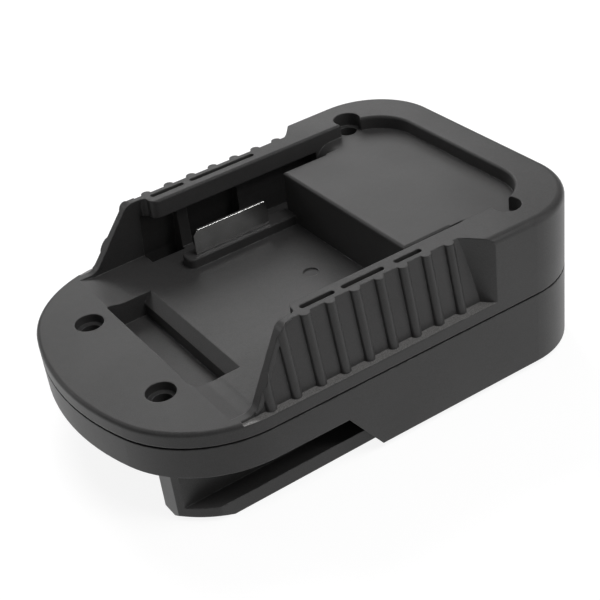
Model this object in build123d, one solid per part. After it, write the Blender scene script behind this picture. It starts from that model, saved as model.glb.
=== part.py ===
from build123d import *
import os
from math import atan, cos, hypot, radians, sin, sqrt, tan

# Tool battery adapter. Millimetres, +Z up.
# X runs along the slide: the nose, where battery and tool slide on, is at -X.
# The origin is the middle of the outline, on the flat face that the adapter rests on.

# How far a cut runs past the face that it opens
cut_margin = 1.0

# Overall housing
overall_length = 109.0
front_half_width = 35.9
rear_half_width = 36.8
nose_radius = 58.0
nose_corner_radius = 25.0
rear_corner_radius = 17.0
side_taper_length = 68.0
overall_height = 36.4
platform_z = 21.8
parting_z = 18.1
shell_wall = 2.4
top_edge_fillet = 1.6
platform_edge_fillet = 0.9
bottom_bevel = 1.2
parting_groove_height = 0.5
parting_groove_depth = 0.6
lip_height = 1.4
lip_wall = 1.1
lip_clearance = 0.15

# Receiver, the side that a battery slides into
channel_half_width = 26.6
receiver_floor_z = 21.0
floor_start = 23.8
valley_width = 4.2
valley_depth = 0.7
valley_radius = 8.0
block_setback = 39.8
block_half_width = 22.4
block_drop = 3.2
block_edge_fillet = 0.7
gap_length = 12.0
gap_end_radius = 4.0
recess_corner_radius = 10.5
rear_rim_wall = 8.2
floor_mark_setback = 9.2
floor_mark_radius = 1.7
floor_mark_depth = 0.35

# Side walls and rails
wall_foot = 24.1
wall_foot_radius = 3.2
wall_slope_run = 9.4
wall_top_radius = 2.6
wall_outer_bottom = 34.0
wall_outer_top = 31.2
wall_skin_bottom = 32.3
wall_skin_top = 29.9
wall_inner_half_width = 29.4
wall_band_width = 1.2
wall_band_height = 0.45
rail_front = 38.0
rail_depth = 4.3
rail_nose_radius = 1.8
rail_root_radius = 1.2
rail_edge_fillet = 0.6
shelf_drop = 0.5
cove_setback = 37.0
cove_length = 13.0
rib_count = 9
rib_pitch = 5.75
first_rib = 27.6
rib_radius = 1.15
slot_half_width = 0.65
slot_centre_y = 29.4
near_slots = ((39.3, 47.2), (48.9, 59.0), (61.6, 68.2))
far_slots = ((39.3, 47.6), (49.3, 66.2))
undercut_windows = ((36.2, 44.6), (47.2, 60.5))
undercut_window_inner_y = 28.5
undercut_window_skin = 1.3

# Latch pocket that the battery's catch drops into
pocket_front = 19.4
pocket_length = 11.6
pocket_half_width = 18.6
pocket_depth = 6.3
pocket_wall = 1.6
pocket_slope_run = 2.8
pocket_slope_drop = 3.2
pocket_corner_radius = 1.0

# Tongue, the side that slides into a tool
flange_half_width = 32.6
neck_half_width = 28.1
flange_thickness = 3.4
shallow_bottom_z = 11.2
tongue_front = 7.7
rail_inner_half_width = 21.2
rail_end_radius = 2.5
notch_end = 16.0
deck_z = 5.0
deck_wall = 2.0
deck_end = 54.0
ramp_top = 43.1
ramp_run = 8.2
floor_wall = 2.0

# Battery contacts
strip_inner_y = 19.0
strip_width = 4.6
strip_end_radius = 1.5
strip_edge_fillet = 0.4
strip_height = 2.4
strip_length = 28.2
blade_setback = 25.7
blade_length = 19.2
blade_thickness = 0.8
blade_inset = 1.7
blade_top_z = 29.4
blade_corner = 1.2
blade_rear_corner = 0.6
blade_edge_fillet = 0.2
blade_tail_length = 8.0
blade_tail_z = 13.6
blade_slot_clearance = 0.06
carrier_length = 24.0
carrier_width = 5.0
carrier_height = 1.8
carrier_corner_radius = 0.8
carrier_post_radius = 1.2
carrier_post_spread = 8.0
carrier_post_offset = 0.8

# Tool terminals
terminal_block_length = 21.0
terminal_block_half_width = 17.0
terminal_block_top_z = 12.6
terminal_slot_width = 2.2
terminal_slot_length = 15.0
terminal_positions = (-11.5, 0.0, 11.5)
terminal_block_seat = 0.1
terminal_block_proud = 0.6
terminal_block_chamfer = 1.0
clip_leaf_thickness = 0.5
clip_gap = 0.9
clip_relief = 0.25
clip_mouth_length = 1.6
clip_height = 4.4
clip_length = 11.0
clip_setback = 2.6
clip_room_floor = 0.8
clip_tail_length = 10.5
clip_tail_z = 7.2
clip_tail_width = 2.2
lead_radius = 1.2
lead_clearance = 0.05
lead_start_gap = 0.4
lead_first_run = 4.4
lead_rise_run = 4.4
bend_share = 0.45
resistor_radius = 1.1
resistor_length = 6.2
resistor_wire_radius = 0.3
resistor_gap = 0.5

# Screws
front_screw_x = 14.0
front_screw_y = 15.7
rear_screw_inset = 17.5
rear_screw_y = 28.0
counterbore_radius = 3.15
front_counterbore_depth = 2.0
head_bore_radius = 2.1
front_head_seat_z = 16.8
front_boss_split_z = 15.4
rear_head_seat_z = 21.6
screw_head_radius = 1.95
screw_head_height = 1.4
screw_shank_radius = 1.1
screw_clear_radius = 1.3
screw_fit = 0.03
screw_boss_radius = 3.6
screw_point_chamfer = 0.5
screw_head_fillet = 0.45
front_screw_tip_z = 12.3
rear_screw_tip_z = 8.0
drive_radius = 0.95
drive_depth = 0.8

# Release latch
latch_plate_z = 8.4
latch_plate_thickness = 2.0
latch_plate_corner = 1.5
latch_half_width = 13.0
latch_opening_half_width = 7.0
latch_opening_corner = 2.0
latch_opening_margin = 2.5
latch_rim_width = 0.8
latch_rim_height = 1.2
latch_rim_setback = 3.0
latch_tab_length = 6.4
latch_tab_slope = 4.0
latch_tab_half_width = 9.5
latch_tab_reach = 4.0
latch_tab_clearance = 0.4
latch_window_margin = 3.0
latch_travel = 3.6
latch_rear_gap = 0.35
latch_arm_thickness = 1.4
latch_arm_overlap = 0.8
spring_y = 8.0
spring_radius = 2.6
spring_wire_radius = 0.35
spring_turns = 5
spring_clearance = 0.35
spring_cup_wall = 1.15
spring_cup_height = 1.6
spring_post_radius = 1.7
spring_post_height = 1.3
keeper_z = 18.6
keeper_thickness = 2.2
keeper_half_length = 6.5
keeper_corner_radius = 3.0
keeper_gap = 0.4
keeper_post_inset = 3.1
keeper_post_radius = 2.9
keeper_rim_half_width = 12.0
keeper_rim_inset = 1.5
keeper_rim_wall = 1.4
keeper_rim_height = 1.4
keeper_screw_length = 9.2
button_half_width = 12.0
button_bottom_z = 4.4
button_height = 8.0
button_recess = 0.7
button_clearance = 0.35
button_corner_radius = 1.3
button_face_fillet = 0.6
button_grip_count = 4
button_grip_radius = 0.5
button_grip_inset = 2.5
guide_rib_setbacks = (45.0, 15.0)
guide_rib_thickness = 1.6
guide_rib_width = 3.0
guide_rib_drop = 1.0
guide_clearance = 0.35
latch_rest_width = 3.0
latch_foot_length = 3.4

# Worked out from the values above
front_x = -overall_length / 2
rear_x = overall_length / 2
side_slope = (rear_half_width - front_half_width) / side_taper_length
side_angle = atan(side_slope)
floor_top_inside_z = shallow_bottom_z + floor_wall
pocket_floor_z = platform_z - pocket_depth
shelf_z = platform_z - shelf_drop
rail_bottom_z = overall_height - rail_depth
blade_centre_y = strip_inner_y + blade_inset
blade_slot_half = blade_thickness / 2 + blade_slot_clearance
far_reach = 2 * rear_half_width
block_top_z = overall_height - block_drop
block_front = overall_length - block_setback
gap_end = block_front + gap_length
strip_front = block_front - strip_length
blade_front = block_front - blade_setback
cove_start = overall_length - cove_setback
cove_end = cove_start + cove_length
rear_screw_x = overall_length - rear_screw_inset
deck_top_z = deck_z + deck_wall
latch_front = deck_end - latch_window_margin - latch_tab_clearance - latch_tab_length
latch_top_z = latch_plate_z + latch_plate_thickness
latch_rear_x = rear_x - shell_wall - lip_clearance - lip_wall - latch_rear_gap
spring_x = block_front + shell_wall + keeper_gap + keeper_half_length
spring_cup_radius = spring_radius + spring_clearance + spring_cup_wall
keeper_half_width = block_half_width - shell_wall - keeper_gap
keeper_post_y = keeper_half_width - keeper_post_inset
keeper_screw_seat_z = keeper_z + keeper_thickness
keeper_screw_tip_z = keeper_screw_seat_z - keeper_screw_length


def station(distance):
    """X of a place that is given as its distance behind the nose."""
    return front_x + distance


def block(x0, x1, y0, y1, z0, z1):
    """A straight-sided block between two corners."""
    box = Box(x1 - x0, y1 - y0, z1 - z0)
    return Pos((x0 + x1) / 2, (y0 + y1) / 2, (z0 + z1) / 2) * box


def rod(x, y, z0, z1, radius):
    """An upright round bar."""
    return Pos(x, y, (z0 + z1) / 2) * Cylinder(radius, z1 - z0)


def across(points, y0, y1):
    """A profile drawn in X and Z, run from y0 to y1."""
    face = make_face(Polyline(*[(x, 0, z) for x, z in points], close=True))
    return Pos(0, y0, 0) * extrude(face, y1 - y0, dir=(0, 1, 0))


def along(points, x0, x1):
    """A profile drawn in Y and Z, run from x0 to x1."""
    face = make_face(Polyline(*[(0, y, z) for y, z in points], close=True))
    return Pos(x0, 0, 0) * extrude(face, x1 - x0, dir=(1, 0, 0))


def both_sides(solid):
    """The solid and its mirror image on the other side of the slide axis."""
    return solid + mirror(solid, about=Plane.XZ)


def side_line(x):
    """Half width of the housing at x, along its straight, slightly tapered side."""
    nose_corner_x = front_x + nose_corner_radius
    return front_half_width + side_slope * (x - nose_corner_x)


def nose_corner_centre():
    """Centre of the arc between the nose arc and the straight side."""
    nose_x = front_x + nose_radius
    drop = nose_corner_radius / cos(side_angle)
    reach = nose_radius - nose_corner_radius
    # The centre lies on the side line moved in by the arc's radius,
    # and at the distance reach from the nose arc's centre.
    offset = side_line(0) - drop
    a = 1 + side_slope ** 2
    b = 2 * (side_slope * offset - nose_x)
    c = nose_x ** 2 + offset ** 2 - reach ** 2
    x = (-b - sqrt(b * b - 4 * a * c)) / (2 * a)
    return x, side_slope * x + offset


def point_on(centre, radius, direction_x, direction_y):
    """Point of a circle in the given direction from its centre."""
    length = hypot(direction_x, direction_y)
    return centre[0] + radius * direction_x / length, centre[1] + radius * direction_y / length


def arc_between(centre, radius, start, end):
    """The short arc of a circle from start to end."""
    middle_x = (start[0] + end[0]) / 2 - centre[0]
    middle_y = (start[1] + end[1]) / 2 - centre[1]
    return ThreePointArc(start, point_on(centre, radius, middle_x, middle_y), end)


def plan_outline(inset=0.0):
    """The housing's outline from above, moved in by inset all round."""
    nose_centre = (front_x + nose_radius, 0)
    corner = nose_corner_centre()
    side_direction = (-sin(side_angle), cos(side_angle))
    rear_corner_x = rear_x - rear_corner_radius
    rear_corner = (rear_corner_x, side_line(rear_corner_x) - rear_corner_radius / cos(side_angle))
    nose_r = nose_radius - inset
    corner_r = nose_corner_radius - inset
    rear_r = rear_corner_radius - inset
    tip = (front_x + inset, 0)
    nose_end = point_on(nose_centre, nose_r, corner[0] - nose_centre[0], corner[1])
    side_start = point_on(corner, corner_r, *side_direction)
    side_end = point_on(rear_corner, rear_r, *side_direction)
    rear_end = (rear_x - inset, rear_corner[1])
    edges = []
    for sign in (1, -1):
        def at(point):
            return point[0], sign * point[1]
        edges.append(arc_between(nose_centre, nose_r, tip, at(nose_end)))
        edges.append(arc_between(at(corner), corner_r, at(nose_end), at(side_start)))
        edges.append(Line(at(side_start), at(side_end)))
        edges.append(arc_between(at(rear_corner), rear_r, at(side_end), at(rear_end)))
    edges.append(Line((rear_end[0], -rear_end[1]), rear_end))
    return make_face(Wire([e if isinstance(e, Edge) else e.edge() for e in edges]))


def outline_solid(inset, z0, z1):
    """The housing's outline as an upright solid from z0 to z1."""
    return Pos(0, 0, z0) * extrude(plan_outline(inset), z1 - z0, dir=(0, 0, 1))


def wall_lean(z, bottom, top):
    """Half width of a leaning wall face at height z."""
    share = (z - platform_z) / (overall_height - platform_z)
    return bottom + (top - bottom) * share


def side_recess_cutter():
    """What is cut away beside the rail wall, down to the shelf, as far as the rear cove."""
    high_z = overall_height + top_edge_fillet
    profile = (
        (wall_lean(shelf_z, wall_outer_bottom, wall_outer_top), shelf_z),
        (wall_lean(high_z, wall_outer_bottom, wall_outer_top), high_z),
        (far_reach, high_z),
        (far_reach, shelf_z),
    )
    length = along(profile, front_x - shell_wall, station(cove_end) + shell_wall)
    inner = wall_outer_top - rib_radius
    start = (station(cove_start), inner)
    end = (station(cove_end), side_line(station(cove_end)) + rib_radius)
    curve = Spline(start, end, tangents=[(1, 0), (1, 0)])
    rest = Polyline(end, (end[0], far_reach), (front_x - shell_wall, far_reach),
                    (front_x - shell_wall, inner), start)
    plan = make_face(Wire([curve.edge(), *rest.edges()]))
    cove = Pos(0, 0, shelf_z) * extrude(plan, high_z - shelf_z, dir=(0, 0, 1))
    return length & cove


def front_cutter():
    """What is cut away above the platform in front of the walls' curved front edges."""
    foot_x = station(wall_foot)
    top_x = foot_x + wall_slope_run
    high_z = overall_height + top_edge_fillet
    lines = Polyline(
        (front_x - shell_wall, 0, platform_z),
        (foot_x, 0, platform_z),
        (top_x, 0, overall_height),
        (top_x + wall_top_radius, 0, overall_height),
        (top_x + wall_top_radius, 0, high_z),
        (front_x - shell_wall, 0, high_z),
        close=True,
    )
    face = make_face(lines)
    foot = face.vertices().sort_by_distance((foot_x, 0, platform_z))[0]
    face = fillet(foot, wall_foot_radius)
    crest = face.vertices().sort_by_distance((top_x, 0, overall_height))[0]
    face = fillet(crest, wall_top_radius)
    return Pos(0, -far_reach, 0) * extrude(face, 2 * far_reach, dir=(0, 1, 0))


def between_rails():
    """The space between the rails, beside the block and over it."""
    high_z = overall_height + top_edge_fillet
    space = block(station(floor_start), station(gap_end),
                  -channel_half_width, channel_half_width, receiver_floor_z, high_z)
    terminal_block = block(station(block_front), station(gap_end) + gap_end_radius,
                           -block_half_width, block_half_width, 0, block_top_z)
    top_edges = terminal_block.faces().sort_by(Axis.Z)[-1].edges()
    terminal_block = fillet(top_edges.sort_by(Axis.X)[:3], block_edge_fillet)
    return space - terminal_block + recess_cutter()


def channel_cutter():
    """The battery's way in: between the thin walls in front, and under the rails."""
    high_z = overall_height + top_edge_fillet
    start_x = station(floor_start)
    skin_floor = wall_lean(receiver_floor_z, wall_skin_bottom, wall_skin_top)
    skin_high = wall_lean(high_z, wall_skin_bottom, wall_skin_top)
    lead_in = along((
        (-skin_floor, receiver_floor_z), (skin_floor, receiver_floor_z),
        (skin_high, high_z), (-skin_high, high_z),
    ), start_x, station(rail_front) + rail_nose_radius)
    under = block(start_x, station(gap_end), -wall_inner_half_width, wall_inner_half_width,
                  receiver_floor_z, rail_bottom_z)
    terminal_block = block(station(block_front), station(gap_end), -block_half_width,
                           block_half_width, 0, block_top_z)
    return (lead_in - both_sides(rail_blank(high_z))) + (under - terminal_block)


def rail_blank(high_z):
    """One rail from its rounded front end back, over the channel's edge."""
    blank = block(station(rail_front), station(rail_front) + 2 * rail_depth,
                  channel_half_width, far_reach, rail_bottom_z, high_z)
    nose = blank.edges().filter_by(Axis.Z).group_by(Axis.X)[0].group_by(Axis.Y)[0]
    return fillet(nose, rail_nose_radius)


def rail_root():
    """The rounded inner corner where the thin wall in front meets the rail's front end."""
    skin_y = wall_lean(overall_height, wall_skin_bottom, wall_skin_top)
    x = station(rail_front)
    corner = block(x - rail_root_radius, x, skin_y - rail_root_radius, far_reach,
                   rail_bottom_z, overall_height)
    corner -= rod(x - rail_root_radius, skin_y - rail_root_radius, 0, 2 * overall_height,
                  rail_root_radius)
    return both_sides(corner & wall_space())


def wall_space():
    """The space between the side walls' leaning outer faces."""
    return along((
        (-wall_lean(shelf_z, wall_outer_bottom, wall_outer_top), shelf_z),
        (wall_lean(shelf_z, wall_outer_bottom, wall_outer_top), shelf_z),
        (wall_outer_top, overall_height), (-wall_outer_top, overall_height),
    ), front_x, rear_x)


def gap_end_cutter():
    """The rounded edge where the gaps beside the block run out into the recess."""
    x0 = station(gap_end)
    x1 = x0 + gap_end_radius
    low_z = block_top_z - gap_end_radius
    middle = gap_end_radius * (1 - sqrt(0.5))
    arc = ThreePointArc((x0, 0, low_z), (x0 + middle, 0, block_top_z - middle),
                        (x1, 0, block_top_z))
    rest = Polyline((x1, 0, block_top_z), (x1, 0, overall_height), (x0 - gap_end_radius, 0,
                    overall_height), (x0 - gap_end_radius, 0, low_z), (x0, 0, low_z))
    face = make_face(Wire([arc.edge(), *rest.edges()]))
    return both_sides(Pos(0, block_half_width, 0)
                      * extrude(face, channel_half_width - block_half_width, dir=(0, 1, 0)))


def floor_mark():
    """The shallow round mark of an ejector pin in the receiver's floor."""
    return rod(station(block_front - floor_mark_setback), 0, receiver_floor_z - floor_mark_depth,
               receiver_floor_z + floor_mark_depth, floor_mark_radius)


def recess_cutter():
    """The level area over the block, with its rounded rear rim."""
    pan = block(station(block_front) - shell_wall, rear_x - rear_rim_wall, -channel_half_width,
                channel_half_width, block_top_z, overall_height + top_edge_fillet)
    corners = pan.edges().filter_by(Axis.Z).group_by(Axis.X)[-1]
    return fillet(corners, recess_corner_radius)


def valley_cutter():
    """The shallow valley across the platform, in front of the receiver's floor."""
    middle = station(floor_start)
    skin = wall_lean(platform_z, wall_skin_bottom, wall_skin_top)
    cutter = across((
        (middle - valley_width, platform_z + shelf_drop),
        (middle - valley_width, platform_z),
        (middle, receiver_floor_z - valley_depth + shelf_drop),
        (middle + valley_width / 2, receiver_floor_z),
        (middle + valley_width / 2, platform_z + shelf_drop),
    ), -skin, skin)
    bottom = cutter.edges().filter_by(Axis.Y).group_by(Axis.Z)[0]
    return fillet(bottom, valley_radius)


def long_slot(x0, x1, y, z0, z1):
    """A narrow slot with rounded ends, cut down through a rail."""
    plan = SlotOverall(x1 - x0, 2 * slot_half_width)
    return Pos((x0 + x1) / 2, y, z0) * extrude(plan, z1 - z0, dir=(0, 0, 1))


def rail_slots():
    """The moulding slots along the tops of both rails."""
    cuts = []
    for sign, places in ((1, far_slots), (-1, near_slots)):
        for start, end in places:
            cuts.append(long_slot(station(start), station(end), sign * slot_centre_y,
                                  rail_bottom_z - slot_half_width,
                                  overall_height + top_edge_fillet))
    return cuts


def undercut_cutters():
    """Openings below the rails, through the floor's edge and into the thick side walls."""
    low_z = parting_z - shell_wall
    skin = undercut_window_skin
    low_y = wall_lean(receiver_floor_z, wall_outer_bottom, wall_outer_top) - skin
    high_y = wall_lean(rail_bottom_z, wall_outer_bottom, wall_outer_top) - skin
    profile = (
        (undercut_window_inner_y, low_z), (low_y, low_z), (low_y, receiver_floor_z),
        (high_y, rail_bottom_z), (undercut_window_inner_y, rail_bottom_z),
    )
    cuts = []
    for start, end in undercut_windows:
        cuts.append(both_sides(along(profile, station(start), station(end))))
    return cuts


def ribs():
    """Upright grip ribs that lean with the outside of each wall."""
    lean = (wall_outer_top - wall_outer_bottom) / (overall_height - platform_z)
    height = overall_height - shelf_z + 2 * rib_radius
    bottom_y = wall_lean(shelf_z - rib_radius, wall_outer_bottom, wall_outer_top)
    solids = []
    for number in range(rib_count):
        x = station(first_rib + number * rib_pitch)
        circle = Pos(x, bottom_y, shelf_z - rib_radius) * Circle(rib_radius)
        bar = extrude(circle, height * hypot(1, lean), dir=(0, lean, 1))
        solids.append(both_sides(bar))
    return solids


def rib_limits():
    """The space that the ribs stay inside: on the shelf, level with the rail's top."""
    deep = wall_outer_top - rib_radius
    space = block(front_x, rear_x, deep, far_reach, shelf_z, overall_height)
    return both_sides(space) - front_cutter()


def front_bands():
    """The slightly raised borders along the walls' curved front edges."""
    outer = wall_band_height
    profile = (
        (wall_lean(shelf_z, wall_outer_bottom, wall_outer_top) - outer, shelf_z),
        (wall_lean(shelf_z, wall_outer_bottom, wall_outer_top) + outer, shelf_z),
        (wall_outer_top + outer, overall_height),
        (wall_outer_top - outer, overall_height),
    )
    wall = along(profile, station(wall_foot), station(rail_front))
    band = (wall & Pos(wall_band_width, 0, 0) * front_cutter()) - front_cutter()
    return both_sides(band)


def strips():
    """The two raised strips that hold the battery contacts, rounded at the front."""
    strip = block(station(strip_front), station(block_front), strip_inner_y,
                  strip_inner_y + strip_width, receiver_floor_z, receiver_floor_z + strip_height)
    ends = strip.edges().filter_by(Axis.Z).group_by(Axis.X)[0]
    strip = fillet(ends, strip_end_radius)
    top_edges = strip.faces().sort_by(Axis.Z)[-1].edges().sort_by(Axis.X)[:-1]
    return both_sides(fillet(top_edges, strip_edge_fillet))


def screw_places(front):
    """Centres of the two housing screws at the nose or at the rear."""
    x = station(front_screw_x if front else rear_screw_x)
    y = front_screw_y if front else rear_screw_y
    return [(x, y), (x, -y)]


def upper_inner_space():
    """The hollow under the block and the rear of the upper half."""
    front = station(block_front) + shell_wall
    under_block = block(front, station(gap_end) + shell_wall,
                        -(block_half_width - shell_wall), block_half_width - shell_wall,
                        parting_z - shell_wall, block_top_z - shell_wall)
    rear_space = outline_solid(shell_wall + lip_wall, parting_z - shell_wall,
                               block_top_z - shell_wall)
    rear_limit = block(station(gap_end) + shell_wall, rear_x, -far_reach, far_reach, 0,
                       overall_height)
    space = under_block + (rear_space & rear_limit)
    for x, y in screw_places(front=False):
        space -= rod(x, y, 0, overall_height, screw_boss_radius)
    return space


def locating_lip():
    """The lip that steps down from the upper half into the lower half."""
    outer = shell_wall + lip_clearance
    ring = outline_solid(outer, parting_z - lip_height, parting_z)
    ring -= outline_solid(outer + lip_wall, parting_z - lip_height - cut_margin, parting_z + cut_margin)
    return ring


def parting_groove():
    """The fine shadow line between the two halves."""
    ring = outline_solid(-cut_margin, parting_z, parting_z + parting_groove_height)
    return ring - outline_solid(parting_groove_depth, parting_z - cut_margin,
                                parting_z + parting_groove_height + cut_margin)


def pocket_box(grow):
    """The latch pocket's hollow, or with grow the tub around it."""
    x0 = station(pocket_front)
    x1 = x0 + pocket_length
    half = pocket_half_width + grow
    box = block(x0 - grow, x1 + grow, -half, half, pocket_floor_z - grow,
                platform_z + shell_wall)
    corners = box.edges().filter_by(Axis.Z).group_by(Axis.X)[0]
    box = fillet(corners, pocket_corner_radius + grow)
    low_x = x1 + grow - pocket_slope_run
    low_z = platform_z - pocket_slope_drop - grow
    return box - across((
        (low_x, pocket_floor_z - 2 * grow - pocket_wall), (low_x, low_z),
        (x1 + grow, platform_z - grow), (x1 + 2 * grow + pocket_wall, platform_z - grow),
        (x1 + 2 * grow + pocket_wall, pocket_floor_z - 2 * grow - pocket_wall),
    ), -2 * half, 2 * half)


def blade_slots():
    """Slots through floor and strips for the battery contacts."""
    x0 = station(blade_front) - blade_slot_clearance
    x1 = station(blade_front) + blade_length + blade_slot_clearance
    cut = block(x0, x1, blade_centre_y - blade_slot_half, blade_centre_y + blade_slot_half,
                parting_z - cut_margin, receiver_floor_z + strip_height + cut_margin)
    return both_sides(cut)


def upper_screw_bores():
    """Counterbores, head bores and shank holes in the receiver half."""
    front_ledge = platform_z - front_counterbore_depth
    cuts = []
    for front, top, ledge, seat in ((True, platform_z, front_ledge, front_head_seat_z),
                                    (False, overall_height, block_top_z, rear_head_seat_z)):
        for x, y in screw_places(front):
            cuts.append(rod(x, y, ledge, top + cut_margin, counterbore_radius))
            cuts.append(rod(x, y, seat, ledge + cut_margin, head_bore_radius))
            cuts.append(rod(x, y, 0, seat + cut_margin, screw_clear_radius))
    return cuts


def lower_screw_bores():
    """The holes in the tongue half that the housing screws bite into."""
    cuts = []
    for front, tip in ((True, front_screw_tip_z), (False, rear_screw_tip_z)):
        for x, y in screw_places(front):
            cuts.append(rod(x, y, tip - screw_fit, parting_z + cut_margin,
                            screw_shank_radius + screw_fit))
    return cuts


def inner_top_edges(walls):
    """The top edges of the rails' inner sides and of the recess's rim."""
    found = []
    for edge in walls.edges().filter_by_position(Axis.Z, overall_height - 0.01,
                                                 overall_height + 0.01):
        box = edge.bounding_box()
        if max(abs(box.min.Y), abs(box.max.Y)) < channel_half_width + 0.01:
            found.append(edge)
    return [edge for edge in found if edge.bounding_box().max.X < rear_x - rear_rim_wall + 0.01
            and edge.bounding_box().max.X > station(wall_foot)]


def outer_walls():
    """Platform, walls and rear hood with their ribs, before the battery's way is cut."""
    slab = outline_solid(0, parting_z, platform_z)
    slab = fillet(slab.edges().group_by(Axis.Z)[-1], platform_edge_fillet)
    tall = outline_solid(0, parting_z, overall_height)
    tall = fillet(tall.edges().group_by(Axis.Z)[-1], top_edge_fillet)
    tall &= block(station(wall_foot) - wall_foot_radius, rear_x, -far_reach, far_reach,
                  0, overall_height)
    tall -= between_rails()
    tall = fillet(inner_top_edges(tall), rail_edge_fillet)
    tall -= front_cutter()
    tall -= both_sides(side_recess_cutter())
    tall -= block(front_x, station(cove_start), -far_reach, far_reach, 0, shelf_z)
    slab -= both_sides(side_recess_cutter() & block(
        station(wall_foot) - wall_foot_radius, rear_x, 0, far_reach, shelf_z, overall_height))
    shell = slab + tall + front_bands()
    limits = rib_limits()
    for bar in ribs():
        shell += bar & limits
    return shell


def upper_shell():
    """The receiver half: platform, latch pocket, rails, walls, block and rear hood."""
    shell = outer_walls() - between_rails()
    shell -= channel_cutter()
    shell += rail_root()
    shell -= gap_end_cutter()
    shell -= valley_cutter()
    shell -= floor_mark()
    for cut in rail_slots() + undercut_cutters():
        shell -= cut
    shell += strips()
    shell -= upper_inner_space()
    shell += locating_lip()
    tub = pocket_box(pocket_wall) & block(front_x, rear_x, -far_reach, far_reach, 0,
                                          parting_z + shell_wall)
    shell += tub
    shell -= pocket_box(0)
    for x, y in screw_places(front=True):
        shell += rod(x, y, front_boss_split_z, parting_z + shell_wall, screw_boss_radius)
    shell -= blade_slots()
    for cut in upper_screw_bores():
        shell -= cut
    return shell - parting_groove()


def ramp_points(top_z):
    """Side profile of what is cut away beside the tongue, back to the sloping end face."""
    slope = ramp_run / shallow_bottom_z
    foot_x = station(ramp_top) + ramp_run
    return (
        (front_x - cut_margin, -cut_margin),
        (foot_x + slope * cut_margin, -cut_margin),
        (foot_x - slope * top_z, top_z),
        (front_x - cut_margin, top_z),
    )


def tongue_cutters():
    """The grooves under the tongue's flanges and the space outside them."""
    outside = across(ramp_points(shallow_bottom_z), flange_half_width, far_reach)
    groove_profile = ramp_points(shallow_bottom_z)
    groove = across(groove_profile, neck_half_width, far_reach)
    groove -= block(front_x - 2 * cut_margin, rear_x, 0, far_reach + cut_margin,
                    -2 * cut_margin, flange_thickness)
    return both_sides(outside) + both_sides(groove)


def channel_under():
    """The open channel between the tongue's two rails, deeper in front of the terminals."""
    deep = block(front_x - cut_margin, station(notch_end), -rail_inner_half_width,
                 rail_inner_half_width, -cut_margin, shallow_bottom_z)
    low = block(front_x - cut_margin, station(deck_end), -rail_inner_half_width,
                rail_inner_half_width, -cut_margin, deck_z)
    ends = low.edges().filter_by(Axis.Z).group_by(Axis.X)[-1]
    low = fillet(ends, rail_end_radius)
    front = block(front_x - cut_margin, station(tongue_front), -far_reach, far_reach, -cut_margin,
                  shallow_bottom_z)
    return deep + low + front


def lower_inner_space():
    """The hollow of the lower half: shallow over the tongue, deep behind it."""
    shallow = outline_solid(shell_wall, floor_top_inside_z, parting_z + cut_margin)
    deep = outline_solid(shell_wall, shell_wall, parting_z + cut_margin)
    deep &= block(station(deck_end) + shell_wall, rear_x, -far_reach, far_reach, 0,
                  parting_z + cut_margin)
    inner_half = rail_inner_half_width - deck_wall
    centre = block(station(notch_end) + deck_wall, station(deck_end) + 2 * shell_wall,
                   -inner_half, inner_half, deck_top_z, parting_z + cut_margin)
    return shallow + centre + deep


def lower_bosses():
    """Screw bosses, keeper posts and the posts under the contact carriers."""
    solids = []
    for front, top in ((True, front_boss_split_z), (False, parting_z)):
        for x, y in screw_places(front):
            solids.append(rod(x, y, 0, top, screw_boss_radius))
    carrier_x = station(blade_front) + blade_length / 2
    for sign in (1, -1):
        solids.append(rod(station(spring_x), sign * keeper_post_y, 0, keeper_z,
                          keeper_post_radius))
        for end in (-1, 1):
            solids.append(rod(carrier_x + end * carrier_post_spread,
                              sign * (blade_centre_y + carrier_post_offset), 0,
                              parting_z - carrier_height, carrier_post_radius))
    return solids


def latch_window():
    """The opening in the deck that the latch tab comes out through."""
    x0 = station(latch_front) - latch_tab_clearance
    x1 = station(latch_front) + latch_tab_length + latch_tab_clearance
    half = latch_tab_half_width + latch_tab_clearance
    return block(x0, x1, -half, half, deck_z - cut_margin, deck_top_z + cut_margin)


def button_window():
    """The opening in the rear wall for the release button and its travel."""
    half = button_half_width + button_clearance
    z0 = button_bottom_z - button_clearance
    z1 = button_bottom_z + button_height + latch_travel + button_clearance
    window = block(rear_x - 2 * shell_wall, rear_x + cut_margin, -half, half, z0, z1)
    return fillet(window.edges().filter_by(Axis.X), button_corner_radius + button_clearance)


def guide_ribs():
    """Upright ribs in the deep part that guide the latch, with ledges that it rests on."""
    inner = latch_half_width + guide_clearance
    solids = []
    for setback in guide_rib_setbacks:
        x0 = rear_x - setback - guide_rib_thickness / 2
        x1 = x0 + guide_rib_thickness
        solids.append(both_sides(block(x0, x1, inner, inner + guide_rib_width, 0,
                                       parting_z - guide_rib_drop)))
        solids.append(both_sides(block(x0, x1, inner - latch_rest_width, inner, 0,
                                       latch_plate_z)))
    return solids


def terminal_seat():
    """The hole in the deck that the tool terminal block sits in."""
    x0 = station(notch_end)
    grow = terminal_block_seat
    return block(x0 - cut_margin, x0 + terminal_block_length + grow, -(terminal_block_half_width + grow),
                 terminal_block_half_width + grow, deck_z - cut_margin, terminal_block_top_z)


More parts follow.
